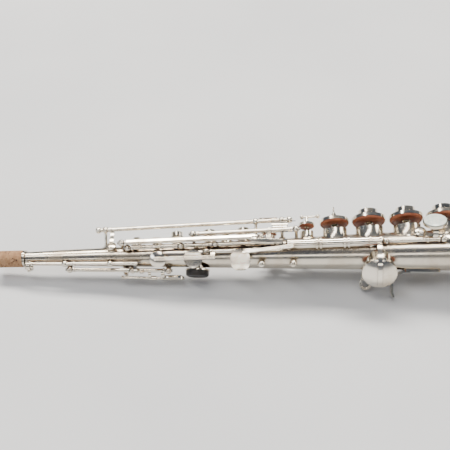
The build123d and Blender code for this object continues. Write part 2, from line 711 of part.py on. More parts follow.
def pearl_key(start, end, hole):
    return stack_metal(start, end, hole, [pearl_holder(hole, RIGHT_PEARL)], [pearl_recess(hole, RIGHT_PEARL)])


def stack_pad(hole):
    return lifted(pad(hole), STACK_ROD, hole, OPEN_ANGLE)


def stack_pearl(hole):
    return lifted(pearl(hole, RIGHT_PEARL), STACK_ROD, hole, OPEN_ANGLE)


def spire(hole):
    """The stepped and pointed adjusting screw on a crown."""
    low = crown_height(hole)
    steps = [(3.3, 1.5), (2.2, 3.2), (1.3, 4.6), (0.7, 10.0)]
    foot = above(hole, low - 0.4)
    return [rod_between(foot, above(hole, low + height), radius) for radius, height in steps]


BRIDGE_HEIGHT = 18.0
with BuildPart() as f_sharp_key:
    bridge = spot(284.5, 352.0, BRIDGE_HEIGHT)
    bridge_end = spot(299.0, 352.0, BRIDGE_HEIGHT)
    bridge_foot = spot(289.0, 356.0, crown_height(F_SHARP_SMALL) - 0.6)
    add(stack_metal(280.0, 330.0, F_SHARP,
                    [cup(F_SHARP_SMALL), cup_arm(STACK_ROD, F_SHARP_SMALL), *spire(F_SHARP),
                     rod_between(bridge, bridge_end, 0.9), ball_at(bridge, 2.0), ball_at(bridge_end, 2.0),
                     rod_between(bridge_foot, spot(289.0, 352.0, BRIDGE_HEIGHT), 1.2)]))
with BuildPart() as f_sharp_pads:
    add([stack_pad(F_SHARP_SMALL), stack_pad(F_SHARP)])

with BuildPart() as f_key:
    add(pearl_key(330.0, 361.0, F_HOLE))
with BuildPart() as f_pad:
    add(stack_pad(F_HOLE))
with BuildPart() as f_pearl:
    add(stack_pearl(F_HOLE))

with BuildPart() as e_key:
    add(pearl_key(361.0, 394.0, E_HOLE))
with BuildPart() as e_pad:
    add(stack_pad(E_HOLE))
with BuildPart() as e_pearl:
    add(stack_pearl(E_HOLE))

with BuildPart() as d_key:
    add(pearl_key(394.0, 428.0, D_HOLE))
with BuildPart() as d_pad:
    add(stack_pad(D_HOLE))
with BuildPart() as d_pearl:
    add(stack_pearl(D_HOLE))


# --- keys of the little fingers and the bell ---
def finger_touch(line, station, length, width, reach, height):
    """An oval plate beside a hinge tube, reached by its own curved root."""
    radius = wall_radius(station)
    side = 1 if reach > 0 else -1
    root = [across(line.around, radius + line.height),
            across(line.around + reach * 0.45, radius + height - 0.4),
            across(line.around + reach, radius + height)]
    tip = across(line.around + reach + side * 14.0, radius + height - 1.2)
    plate = strap(station, [*root, tip], length * 2, 1.6)
    return [leaf(station, line.around + reach, length, width, plate), strap(station, root, 4.4, 1.6)]


with BuildPart() as low_eb_key:
    add(hinged_key(LOW_EB_ROD, 432.0, 470.0,
                   [cup(LOW_EB), cup_arm(LOW_EB_ROD, LOW_EB),
                    *finger_touch(LOW_EB_ROD, 451.0, 14.0, 13.0, -18.0, 12.0)]))
with BuildPart() as low_eb_pad:
    add(pad(LOW_EB))

with BuildPart() as low_c_key:
    add(lifted(hinged_key(LOW_C_ROD, 430.0, 490.0,
                          [cup(LOW_C), cup_arm(LOW_C_ROD, LOW_C, width=5.0),
                           *finger_touch(LOW_C_ROD, 438.5, 14.0, 14.0, -32.0, 13.0)]),
               LOW_C_ROD, LOW_C, OPEN_ANGLE * 0.8))
with BuildPart() as low_c_pad:
    add(lifted(pad(LOW_C), LOW_C_ROD, LOW_C, OPEN_ANGLE * 0.8))

with BuildPart() as low_cs_key:
    add(hinged_key(LOW_CS_ROD, 249.0, 500.0,
                   [cup(LOW_CS), cup_arm(LOW_CS_ROD, LOW_CS),
                    *finger_touch(LOW_CS_ROD, 260.0, 16.0, 12.0, 15.0, 12.0)]))
with BuildPart() as low_cs_pad:
    add(pad(LOW_CS))

with BuildPart() as low_b_key:
    add(lifted(hinged_key(LOW_B_ROD, 249.0, 532.0,
                          [cup(LOW_B), cup_arm(LOW_B_ROD, LOW_B, width=5.0),
                           *finger_touch(LOW_B_ROD, 260.0, 16.0, 12.0, 20.0, 13.0)]),
               LOW_B_ROD, LOW_B, OPEN_ANGLE * 0.8))
with BuildPart() as low_b_pad:
    add(lifted(pad(LOW_B), LOW_B_ROD, LOW_B, OPEN_ANGLE * 0.8))

with BuildPart() as low_bb_key:
    add(lifted(hinged_key(LOW_BB_ROD, 272.0, 562.0,
                          [cup(LOW_BB), cup_arm(LOW_BB_ROD, LOW_BB, width=5.0),
                           *finger_touch(LOW_BB_ROD, 284.0, 16.0, 13.0, 22.0, 13.0)]),
               LOW_BB_ROD, LOW_BB, OPEN_ANGLE * 0.7))
with BuildPart() as low_bb_pad:
    add(lifted(pad(LOW_BB), LOW_BB_ROD, LOW_BB, OPEN_ANGLE * 0.7))

# --- posts, guides, guards and steel rods ---
STOP_AROUND, STOP_HEIGHT, STOP_BALL, STOP_STEM = 126.0, 6.8, 3.5, 1.8


def stop_post(station):
    """A tall post whose ball stops a paddle."""
    foot, top = spot(station, STOP_AROUND, -SINK), spot(station, STOP_AROUND, STOP_HEIGHT)
    ledge = spot(station, STOP_AROUND, FOOT_THICK)
    return trimmed([rod_between(foot, top, STOP_STEM), ball_at(top, STOP_BALL),
                    rod_between(foot, ledge, FOOT)], [CORE])



with BuildPart() as key_posts:
    shaft_bore = NECK_SHAFT.tube + ROD_FIT
    add([post(NECK_SHAFT, station, bore=shaft_bore) for station in (69.0, 111.5)])
    add([post(BACK_ROD, station) for station in (72.0, 131.0, 164.0)])
    add([post(RAIL, station) for station in (128.0, 177.0, 208.0, 263.5)])
    add([post(HIGH_SHAFT, 105.6, 24.0, bore=HIGH_SHAFT.tube + ROD_FIT),
         post(HIGH_SHAFT, 243.5, 14.0, bore=HIGH_SHAFT.tube + ROD_FIT),
         post(HIGH_SHAFT, 267.0, 14.0, bore=HIGH_SHAFT.tube + ROD_FIT)])
    add([post(SIDE_ROD, 188.0), post(SIDE_ROD, 280.0)])
    add([post(LINK_ROD, 123.0, 40.0), post(LINK_ROD, 249.0, 32.0)])
    add([post(PALM_ROD, station) for station in (200.0, 243.5)])
    add([post(THICK_ROD, station) for station in (269.5, 357.0, 406.0)])
    add([post(STACK_ROD, station) for station in (280.0, 330.0, 361.0, 394.0, 428.0)])
    add([post(LOW_C_ROD, 430.0), post(LOW_C_ROD, 490.0), post(LOW_EB_ROD, 432.0), post(LOW_EB_ROD, 470.0)])
    add([post(LOW_CS_ROD, station) for station in (249.0, 500.0)])
    add([post(LOW_B_ROD, station) for station in (249.0, 532.0)])
    add([post(LOW_BB_ROD, station) for station in (272.0, 562.0)])
    add([guide(LOW_CS_ROD, 335.0), guide(LOW_B_ROD, 340.0), guide(LOW_B_ROD, 440.0),
         guide(LOW_BB_ROD, 376.0), guide(LOW_BB_ROD, 470.0)])
    add([stop_post(station) for station in (249.0, 277.0)])


def guard(hole):
    """A half arch from the side of the body over an open cup, with its stop."""
    radius = wall_radius(hole.station)
    high = crown_height(hole) + 8.0
    arch = strap(hole.station, [across(432.0, radius - SINK), across(425.0, radius + high * 0.6),
                                across(400.0, radius + high + 2.0), across(360.0, radius + high)], 5.0, 1.7)
    stop = rod_between(spot(hole.station, 360.0, high + 0.6), spot(hole.station, 360.0, high - 2.2), 3.0)
    foot = rod_between(spot(hole.station, 432.0, -SINK), spot(hole.station, 432.0, 0.9), 4.2)
    return trimmed([arch, stop, foot], [CORE])


with BuildPart() as key_guards:
    add([guard(LOW_B), guard(LOW_BB)])

with BuildPart() as hinge_rods:
    add([steel(BACK_ROD, 72.0, 164.0), steel(RAIL, 128.0, 263.5), steel(SIDE_ROD, 188.0, 280.0),
         steel(LINK_ROD, 123.0, 249.0), steel(PALM_ROD, 200.0, 243.5), steel(THICK_ROD, 269.5, 406.0),
         steel(STACK_ROD, 280.0, 428.0), steel(LOW_C_ROD, 430.0, 490.0), steel(LOW_EB_ROD, 432.0, 470.0),
         steel(LOW_CS_ROD, 249.0, 500.0), steel(LOW_B_ROD, 249.0, 532.0), steel(LOW_BB_ROD, 272.0, 562.0)])

# --- export ---
NODES = {
    "body_tube": body_tube, "bell": bell, "ferrules": ferrules, "neck_cork": neck_cork,
    "tone_hole_chimneys": tone_hole_chimneys, "key_posts": key_posts, "hinge_rods": hinge_rods,
    "key_guards": key_guards, "thumb_rest_seat": thumb_rest_seat, "thumb_rest_button": thumb_rest_button,
    "thumb_hook": thumb_hook, "strap_ring": strap_ring, "octave_lever": octave_lever,
    "neck_octave_key": neck_octave_key, "neck_octave_pad": neck_octave_pad,
    "body_octave_key": body_octave_key, "body_octave_pad": body_octave_pad,
    "side_e_key": side_e_key, "side_e_pad": side_e_pad, "side_c_key": side_c_key, "side_c_pad": side_c_pad,
    "side_bb_key": side_bb_key, "side_bb_pad": side_bb_pad, "palm_d_key": palm_d_key, "palm_d_pad": palm_d_pad,
    "b_key": b_key, "b_pads": b_pads, "b_pearl": b_pearl, "a_key": a_key, "a_pad": a_pad, "a_pearl": a_pearl,
    "g_key": g_key, "g_pads": g_pads, "g_pearl": g_pearl, "back_key": back_key, "back_pad": back_pad,
    "trill_key": trill_key, "trill_pad": trill_pad, "trill_pearl": trill_pearl,
    "f_sharp_key": f_sharp_key, "f_sharp_pads": f_sharp_pads, "f_key": f_key, "f_pad": f_pad,
    "f_pearl": f_pearl, "e_key": e_key, "e_pad": e_pad, "e_pearl": e_pearl, "d_key": d_key, "d_pad": d_pad,
    "d_pearl": d_pearl, "low_eb_key": low_eb_key, "low_eb_pad": low_eb_pad, "low_c_key": low_c_key,
    "low_c_pad": low_c_pad, "low_cs_key": low_cs_key, "low_cs_pad": low_cs_pad, "low_b_key": low_b_key,
    "low_b_pad": low_b_pad, "low_bb_key": low_bb_key, "low_bb_pad": low_bb_pad,
}
for node_name, node in NODES.items():
    node.part.label = node_name
    export_step(node.part, f"parts/{node_name}.step")
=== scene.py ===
"""Looks of the straight soprano saxophone: silver plate, leather, cork, pearl and the small fittings."""

import json
from math import atan2, cos, pi, radians, sin

import bmesh
import bpy
from mathutils import Matrix, Vector


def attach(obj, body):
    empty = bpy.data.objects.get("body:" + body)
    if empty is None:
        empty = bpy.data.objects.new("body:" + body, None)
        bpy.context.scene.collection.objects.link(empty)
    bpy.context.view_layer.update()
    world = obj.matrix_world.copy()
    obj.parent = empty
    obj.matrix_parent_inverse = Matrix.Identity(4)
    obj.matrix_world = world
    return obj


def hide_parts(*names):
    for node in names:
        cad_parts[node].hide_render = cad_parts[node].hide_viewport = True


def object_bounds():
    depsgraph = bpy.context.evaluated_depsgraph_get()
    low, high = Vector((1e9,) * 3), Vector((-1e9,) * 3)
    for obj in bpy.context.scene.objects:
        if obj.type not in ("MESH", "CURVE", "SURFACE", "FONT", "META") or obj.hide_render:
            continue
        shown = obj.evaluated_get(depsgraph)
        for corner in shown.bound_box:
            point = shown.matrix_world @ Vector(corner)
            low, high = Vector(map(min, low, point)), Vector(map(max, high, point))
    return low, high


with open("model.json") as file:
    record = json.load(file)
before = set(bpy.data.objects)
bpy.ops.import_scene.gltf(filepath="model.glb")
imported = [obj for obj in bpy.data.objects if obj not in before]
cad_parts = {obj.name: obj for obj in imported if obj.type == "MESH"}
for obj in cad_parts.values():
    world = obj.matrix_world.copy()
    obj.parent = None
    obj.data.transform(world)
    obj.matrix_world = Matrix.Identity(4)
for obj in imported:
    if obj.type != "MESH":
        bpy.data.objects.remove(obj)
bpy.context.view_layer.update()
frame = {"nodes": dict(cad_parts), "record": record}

MM = 0.001
CAMERA_AZIMUTH, CAMERA_ELEVATION, CAMERA_ROLL = radians(9.05), radians(43.7), radians(7.5)
CAMERA_DISTANCE, CAMERA_LENS, SENSOR = 0.791, 70.0, 36.0
CAMERA_AIM = Vector((0.2149, 0, 0))
CAMERA_LIFT = 0.06556     # the lens is raised by this share of the picture's width
FLOOR_SIZE, FLOOR_GAP, FLOOR_CLEAR = 8.0, 0.0004, 0.03
LIGHT_REACH = 3.0         # how much further off, and larger, the soft boxes stand
WELD = 0.01 * MM          # points closer than this are one point
PAD_SIDES, RIVET_SIDES, SCREW_SIDES, CRADLE_SIDES, WIRE_SIDES = 96, 32, 24, 14, 8
PUCKER_COUNT = 22         # folds that the skin draws into round the rim of a pad
SCREW_SINK, SCREW_EDGE, SCREW_SHOULDER, SCREW_RISE = -0.1 * MM, 0.12 * MM, 0.5 * MM, 0.62 * MM
SCREW_REACH = 1.2 * MM    # the end of a rod that shows where its screw goes
SLOT_FLOOR, SLOT_HALF = 0.05 * MM, 0.21      # the slot's half width is a share of the rod's radius
SPRING_RADIUS, SPRING_TAPER = 0.33 * MM, 0.6
SPRING_SHARE, SPRING_LONGEST = 0.55, 26 * MM             # of the key tube, and at most
SPRING_PAST = 2.6 * MM                                   # from the tube's end to the spring's post
SPRING_ROOT_CLEAR, SPRING_TIP_CLEAR, SPRING_BOW = 0.75 * MM, 0.34 * MM, 0.15 * MM
TUBE_REACH = 5.2 * MM     # metal nearer than this to a hinge line is the key's own tube
CRADLE_INSET, CRADLE_ASIDE, CRADLE_SINK = 1.2 * MM, 0.62 * MM, 0.4 * MM


# --- node helpers ---
def new_material(name):
    material = bpy.data.materials.new(name)
    material.use_nodes = True
    nodes, links = material.node_tree.nodes, material.node_tree.links
    return material, nodes, links, nodes["Principled BSDF"]


def add_node(nodes, kind, **values):
    node = nodes.new(kind)
    for name, value in values.items():
        setattr(node, name, value)
    return node


def noise(nodes, links, place, scale, detail=4.0, rough=0.55, distort=0.0):
    node = add_node(nodes, "ShaderNodeTexNoise")
    node.inputs["Scale"].default_value = scale
    node.inputs["Detail"].default_value = detail
    node.inputs["Roughness"].default_value = rough
    node.inputs["Distortion"].default_value = distort
    links.new(place, node.inputs["Vector"])
    return node.outputs["Fac"]


def ramp(nodes, links, value, stops):
    node = add_node(nodes, "ShaderNodeValToRGB")
    elements = node.color_ramp.elements
    while len(elements) < len(stops):
        elements.new(0.5)
    for element, (position, color) in zip(elements, stops):
        element.position = position
        element.color = color if len(color) == 4 else (*color, 1.0)
    links.new(value, node.inputs["Fac"])
    return node.outputs["Color"]


def spread(nodes, links, value, low, high, from_low=0.3, from_high=0.7):
    node = add_node(nodes, "ShaderNodeMapRange")
    limits = {"From Min": from_low, "From Max": from_high, "To Min": low, "To Max": high}
    for name, number in limits.items():
        node.inputs[name].default_value = number
    links.new(value, node.inputs["Value"])
    return node.outputs["Result"]


def mix_color(nodes, links, share, first, second, blend="MIX"):
    node = add_node(nodes, "ShaderNodeMix", data_type="RGBA", blend_type=blend)
    for socket, value in ((node.inputs[0], share), (node.inputs[6], first), (node.inputs[7], second)):
        if hasattr(value, "links"):
            links.new(value, socket)
        else:
            socket.default_value = value
    return node.outputs[2]


def bump(nodes, links, height, strength, distance, normal=None):
    node = add_node(nodes, "ShaderNodeBump")
    node.inputs["Strength"].default_value = strength
    node.inputs["Distance"].default_value = distance
    links.new(height, node.inputs["Height"])
    if normal is not None:
        links.new(normal, node.inputs["Normal"])
    return node.outputs["Normal"]


def object_place(nodes, links, stretch=(1, 1, 1)):
    coordinates = add_node(nodes, "ShaderNodeTexCoord")
    mapping = add_node(nodes, "ShaderNodeMapping")
    mapping.inputs["Scale"].default_value = stretch
    links.new(coordinates.outputs["Object"], mapping.inputs["Vector"])
    return mapping.outputs["Vector"]


# --- materials ---
def silver(name, bright, tarnish, crevice_tarnish_and_shade, polish, patch_scale):
    """Old silver plate: clear on what is handled, yellow-brown film in patches, hairline scratches;
    near-black in the corners and where parts lie close, which is painted shade together with the dark
    tarnish that gathers there.
    """
    material, nodes, links, shader = new_material(name)
    place = object_place(nodes, links)
    streaks = object_place(nodes, links, (0.12, 1, 1))
    patches = noise(nodes, links, place, patch_scale, 6.0, 0.62, 0.4)
    fine = noise(nodes, links, streaks, 900.0, 3.0, 0.6)
    # painted shade: ambient occlusion darkens the colour where parts lie close, standing in for the shade
    # that falls there as well as for crevice tarnish
    corners = add_node(nodes, "ShaderNodeAmbientOcclusion", samples=6)
    corners.inputs["Distance"].default_value = 0.006
    shade = spread(nodes, links, corners.outputs["AO"], 1.0, 0.0, 0.25, 0.95)
    film = spread(nodes, links, patches, 0.0, 0.75, 0.44, 0.68)
    plate = mix_color(nodes, links, film, bright, tarnish)
    color = mix_color(nodes, links, shade, plate, crevice_tarnish_and_shade)
    links.new(color, shader.inputs["Base Color"])
    shader.inputs["Metallic"].default_value = 1.0
    links.new(spread(nodes, links, patches, polish, polish + 0.20), shader.inputs["Roughness"])
    dents = noise(nodes, links, place, 55.0, 2.0, 0.5)
    low = bump(nodes, links, dents, 0.25, 0.0004)
    links.new(bump(nodes, links, fine, 0.12, 0.00006, low), shader.inputs["Normal"])
    return material


def steel():
    material, nodes, links, shader = new_material("rod_steel")
    place = object_place(nodes, links, (0.1, 1, 1))
    grain = noise(nodes, links, place, 1500.0, 3.0)
    links.new(ramp(nodes, links, grain, [(0.3, (0.24, 0.23, 0.22)), (0.7, (0.46, 0.44, 0.42))]),
              shader.inputs["Base Color"])
    shader.inputs["Metallic"].default_value = 1.0
    links.new(spread(nodes, links, grain, 0.25, 0.42), shader.inputs["Roughness"])
    links.new(bump(nodes, links, grain, 0.1, 0.00004), shader.inputs["Normal"])
    return material


def blued_steel():
    material, nodes, links, shader = new_material("blued_steel")
    place = object_place(nodes, links, (0.2, 1, 1))
    grain = noise(nodes, links, place, 700.0, 3.0)
    links.new(ramp(nodes, links, grain, [(0.3, (0.025, 0.035, 0.075)), (0.7, (0.10, 0.13, 0.22))]),
              shader.inputs["Base Color"])
    shader.inputs["Metallic"].default_value = 1.0
    links.new(spread(nodes, links, grain, 0.25, 0.45), shader.inputs["Roughness"])
    links.new(bump(nodes, links, grain, 0.1, 0.00003), shader.inputs["Normal"])
    return material


def leather():
    """Tanned pad skin: reddish brown, darker where it has taken up grease."""
    material, nodes, links, shader = new_material("pad_leather")
    place = object_place(nodes, links)
    stain = noise(nodes, links, place, 140.0, 5.0, 0.6)
    pores = add_node(nodes, "ShaderNodeTexVoronoi", feature="F1")
    pores.inputs["Scale"].default_value = 2600.0
    links.new(place, pores.inputs["Vector"])
    color = ramp(nodes, links, stain, [(0.28, (0.13, 0.032, 0.014)), (0.5, (0.30, 0.085, 0.036)),
                                       (0.72, (0.42, 0.15, 0.070))])
    links.new(color, shader.inputs["Base Color"])
    links.new(spread(nodes, links, stain, 0.42, 0.62), shader.inputs["Roughness"])
    shader.inputs["Specular IOR Level"].default_value = 0.45
    wrinkles = noise(nodes, links, place, 420.0, 4.0, 0.7)
    low = bump(nodes, links, wrinkles, 0.35, 0.0003)
    links.new(bump(nodes, links, pores.outputs["Distance"], 0.25, 0.0001, low), shader.inputs["Normal"])
    return material


def cork():
    """Sheet cork: tan with dark flecks and small open pits."""
    material, nodes, links, shader = new_material("cork")
    place = object_place(nodes, links)
    cells = add_node(nodes, "ShaderNodeTexVoronoi", feature="F1")
    cells.inputs["Scale"].default_value = 620.0
    cells.inputs["Randomness"].default_value = 1.0
    links.new(place, cells.inputs["Vector"])
    tone = noise(nodes, links, place, 260.0, 5.0, 0.6)
    flecks = noise(nodes, links, place, 330.0, 2.5, 0.6, 0.9)
    ground = ramp(nodes, links, tone, [(0.3, (0.23, 0.115, 0.052)), (0.7, (0.46, 0.275, 0.145))])
    seams = spread(nodes, links, cells.outputs["Distance"], 0.0, 0.35, 0.2, 0.8)
    grain = mix_color(nodes, links, seams, ground, (0.30, 0.16, 0.08, 1))
    dark_flecks = spread(nodes, links, flecks, 0.0, 1.0, 0.585, 0.64)
    color = mix_color(nodes, links, dark_flecks, grain, (0.07, 0.035, 0.02, 1))
    links.new(color, shader.inputs["Base Color"])
    shader.inputs["Roughness"].default_value = 0.85
    low = bump(nodes, links, flecks, 0.6, 0.0003)
    links.new(bump(nodes, links, cells.outputs["Distance"], 0.3, 0.0002, low), shader.inputs["Normal"])
    return material


def hard_rubber():
    material, nodes, links, shader = new_material("hard_rubber")
    place = object_place(nodes, links)
    wear = noise(nodes, links, place, 180.0, 5.0)
    links.new(ramp(nodes, links, wear, [(0.3, (0.006, 0.006, 0.006)), (0.75, (0.030, 0.025, 0.020))]),
              shader.inputs["Base Color"])
    links.new(spread(nodes, links, wear, 0.30, 0.52), shader.inputs["Roughness"])
    shader.inputs["Specular IOR Level"].default_value = 0.3
    links.new(bump(nodes, links, wear, 0.1, 0.0001), shader.inputs["Normal"])
    return material


def mother_of_pearl():
    """Greenish-white shell with soft cloudy bands under a clear surface."""
    material, nodes, links, shader = new_material("pearl")
    place = object_place(nodes, links)
    clouds = noise(nodes, links, place, 160.0, 4.0, 0.5, 1.6)
    bands = add_node(nodes, "ShaderNodeTexWave", wave_type="BANDS")
    bands.inputs["Scale"].default_value = 90.0
    bands.inputs["Distortion"].default_value = 9.0
    bands.inputs["Detail"].default_value = 3.0
    links.new(place, bands.inputs["Vector"])
    ground = ramp(nodes, links, clouds, [(0.25, (0.52, 0.58, 0.52)), (0.5, (0.74, 0.78, 0.70)),
                                         (0.75, (0.86, 0.80, 0.78))])
    color = mix_color(nodes, links, spread(nodes, links, bands.outputs["Fac"], 0.0, 0.35, 0.2, 0.9), ground,
                      (0.50, 0.62, 0.62, 1))
    links.new(color, shader.inputs["Base Color"])
    shader.inputs["Roughness"].default_value = 0.22
    shader.inputs["Coat Weight"].default_value = 0.6
    shader.inputs["Coat Roughness"].default_value = 0.06
    links.new(bump(nodes, links, clouds, 0.08, 0.0002), shader.inputs["Normal"])
    return material


def pale_floor():
    material, nodes, links, shader = new_material("pale_floor")
    place = object_place(nodes, links)
    soft = noise(nodes, links, place, 3.0, 3.0)
    links.new(ramp(nodes, links, soft, [(0.3, (0.60, 0.61, 0.63)), (0.7, (0.68, 0.69, 0.70))]),
              shader.inputs["Base Color"])
    shader.inputs["Roughness"].default_value = 0.75
    return material


# the third colour is the near-black of the corners: painted shade together with crevice tarnish
HORN_SILVER = silver("horn_silver", bright=(0.69, 0.635, 0.535, 1), tarnish=(0.44, 0.35, 0.25, 1),
                     crevice_tarnish_and_shade=(0.12, 0.08, 0.05, 1), polish=0.12, patch_scale=26.0)
KEY_SILVER = silver("key_silver", bright=(0.86, 0.80, 0.69, 1), tarnish=(0.64, 0.53, 0.39, 1),
                    crevice_tarnish_and_shade=(0.18, 0.12, 0.07, 1), polish=0.09, patch_scale=60.0)
POST_SILVER = silver("post_silver", bright=(0.82, 0.76, 0.64, 1), tarnish=(0.52, 0.41, 0.29, 1),
                     crevice_tarnish_and_shade=(0.13, 0.08, 0.05, 1), polish=0.11, patch_scale=90.0)
STEEL = steel()
BLUED = blued_steel()
LEATHER = leather()
CORK = cork()
RUBBER = hard_rubber()
PEARL = mother_of_pearl()
FLOOR = pale_floor()

SOLDERED = {"key_posts", "key_guards", "strap_ring", "thumb_hook", "thumb_rest_seat", "tone_hole_chimneys"}


def material_of(node):
    if node == "hinge_rods":
        return STEEL
    if node == "neck_cork":
        return CORK
    if node == "thumb_rest_button":
        return RUBBER
    if "pearl" in node:
        return PEARL
    if "_pad" in node:
        return LEATHER
    if node in SOLDERED:
        return POST_SILVER
    return KEY_SILVER if "key" in node or "lever" in node else HORN_SILVER


for name, part in frame["nodes"].items():
    part.data.materials.clear()
    part.data.materials.append(material_of(name))


# --- reading sizes from the CAD meshes ---
def islands(node):
    """The separate solids of a CAD node, each as a list of points in the row frame."""
    part = frame["nodes"][node]
    shape = bmesh.new()
    shape.from_mesh(part.data)
    shape.transform(part.matrix_world)
    bmesh.ops.remove_doubles(shape, verts=shape.verts, dist=WELD)
    seen, found = set(), []
    for first in shape.verts:
        if first.index in seen:
            continue
        stack, points = [first], []
        seen.add(first.index)
        while stack:
            vert = stack.pop()
            points.append(vert.co.copy())
            for edge in vert.link_edges:
                other = edge.other_vert(vert)
                if other.index not in seen:
                    seen.add(other.index)
                    stack.append(other)
        found.append(points)
    shape.free()
    return found


def spans(points, axis):
    along = [point.dot(axis) for point in points]
    return min(along), max(along)


def disc_of(points, guess):
    """Middle, axis, radius and thickness of a flat round solid whose axis is near a guess."""
    middle = (Vector([min(p[i] for p in points) for i in range(3)])
              + Vector([max(p[i] for p in points) for i in range(3)])) / 2
    axis = guess.normalized()
    step = 0.3
    while step > 0.0005:
        side = axis.orthogonal().normalized()
        other = axis.cross(side)
        tries = [axis] + [(axis + turn * step).normalized() for turn in (side, -side, other, -other)]
        best = min(tries, key=lambda way: spans(points, way)[1] - spans(points, way)[0])
        if best is axis:
            step /= 2
        axis = best
    low, high = spans(points, axis)
    middle += axis * ((low + high) / 2 - middle.dot(axis))
    radius = max(((p - middle) - axis * (p - middle).dot(axis)).length for p in points)
    return middle, axis, radius, high - low


# --- mesh pieces ---
def turned(profile, name, base, axis, material, steps=48, wave=None):
    """A solid of revolution about an axis, from (radius, height) pairs; wave moves a point in or out."""
    side = axis.orthogonal().normalized()
    other = axis.cross(side)
    shape = bmesh.new()
    rings = []
    for radius, height in profile:
        if radius <= 1e-7:
            rings.append([shape.verts.new(base + axis * height)])
            continue
        ring = []
        for index in range(steps):
            angle = 2 * pi * index / steps
            lift = wave(radius, angle) if wave else 0.0
            ring.append(shape.verts.new(base + axis * (height + lift)
                                        + (side * cos(angle) + other * sin(angle)) * radius))
        rings.append(ring)
    for lower, upper in zip(rings, rings[1:]):
        for index in range(steps):
            following = (index + 1) % steps
            if len(lower) == 1:
                shape.faces.new((lower[0], upper[following], upper[index]))
            elif len(upper) == 1:
                shape.faces.new((lower[index], lower[following], upper[0]))
            else:
                shape.faces.new((lower[index], lower[following], upper[following], upper[index]))
    return finished(shape, name, material)


def finished(shape, name, material, smooth=True):
    bmesh.ops.recalc_face_normals(shape, faces=shape.faces)
    mesh = bpy.data.meshes.new(name)
    for face in shape.faces:
        face.smooth = smooth
    shape.to_mesh(mesh)
    shape.free()
    piece = bpy.data.objects.new(name, mesh)
    bpy.context.scene.collection.objects.link(piece)
    mesh.materials.append(material)
    return piece


def body_holding(node):
    return next(body for body, nodes in frame["record"]["behaviour"]["bodies"].items() if node in nodes)


def leather_pad(name, middle, toward, radius, thick):
    """A pad disc in stretched skin: rolled edge, face printed by the tone hole, centre rivet."""
    print_at, lip = radius * 0.83, thick * 0.42
    back, face = -thick / 2, thick / 2
    profile = [(0.0, back), (radius * 0.97, back), (radius, back + thick * 0.16), (radius, face - lip)]
    profile += [(radius - lip * 0.75 * (1 - cos(step * pi / 10)), face - lip + lip * sin(step * pi / 10))
                for step in range(1, 6)]
    profile += [(print_at + thick * across, face - thick * depth)
                for across, depth in ((0.10, 0.02), (0.03, 0.07), (-0.03, 0.07), (-0.12, 0.02))]
    profile += [(radius * share, face - thick * depth)
                for share, depth in ((0.45, 0.03), (0.30, 0.06), (0.0, 0.06))]

    def pucker(at, angle):
        return 0.012 * thick * sin(angle * PUCKER_COUNT) * (at / radius) ** 4

    pad = turned(profile, name, middle, toward, LEATHER, PAD_SIDES, pucker)
    rivet = turned([(radius * 0.26, 0.0), (radius * 0.26, 0.03 * thick), (radius * 0.20, 0.07 * thick),
                    (radius * 0.08, 0.07 * thick), (radius * 0.05, 0.02 * thick), (0.0, 0.02 * thick)],
                   name + "_rivet", middle + toward * (face - 0.075 * thick), toward, POST_SILVER,
                   RIVET_SIDES)
    return pad, rivet


def all_pads():
    for node in [name for name in frame["nodes"] if name.endswith(("_pad", "_pads"))]:
        pieces = []
        for index, points in enumerate(islands(node)):
            center = sum(points, Vector()) / len(points)
            inward = Vector((0, -center.y, -center.z)).normalized()
            middle, axis, radius, thick = disc_of(points, inward)
            pieces.append(leather_pad(f"{node}_skin_{index}", middle, axis, radius, thick))
        for pad, rivet in pieces:
            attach(pad, body_holding(node))
            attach(rivet, body_holding(node))
            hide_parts(node)


def rod_ends():
    """Slotted screw heads on both ends of every steel rod."""
    for index, points in enumerate(islands("hinge_rods")):
        first = min(points, key=lambda point: point.x)
        last = max(points, key=lambda point: point.x)
        near = [p for p in points if p.x < first.x + SCREW_REACH]
        far = [p for p in points if p.x > last.x - SCREW_REACH]
        start, end = sum(near, Vector()) / len(near), sum(far, Vector()) / len(far)
        axis = (end - start).normalized()
        radius = max(((p - start) - axis * (p - start).dot(axis)).length for p in near)
        for tag, tip, way in (("a", start, -axis), ("b", end, axis)):
            tip = tip + way * (max(p.dot(way) for p in points) - tip.dot(way))
            head = turned([(0.0, SCREW_SINK), (radius * 1.35, SCREW_SINK), (radius * 1.45, SCREW_EDGE),
                           (radius * 1.3, SCREW_SHOULDER), (radius * 0.8, SCREW_RISE), (0.0, SCREW_RISE)],
                          f"rod_screw_{index}{tag}", tip, way, STEEL, SCREW_SIDES)
            slot_cut(head, tip, way, radius)
            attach(head, "horn")


def slot_cut(head, tip, way, radius):
    """Presses the driver slot into a screw head."""
    side = way.orthogonal().normalized()
    shape = bmesh.new()
    shape.from_mesh(head.data)
    for offset in (-0.22, 0.22, -0.2, 0.2):       # two cuts on each side make the slot's steep walls
        bmesh.ops.bisect_plane(shape, geom=list(shape.verts) + list(shape.edges) + list(shape.faces),
                               plane_co=tip + side * offset * radius, plane_no=side)
    for vert in shape.verts:
        rise = (vert.co - tip).dot(way)
        if rise > SLOT_FLOOR and abs((vert.co - tip).dot(side)) < SLOT_HALF * radius:
            vert.co -= way * (rise - SLOT_FLOOR)
    shape.to_mesh(head.data)
    shape.free()


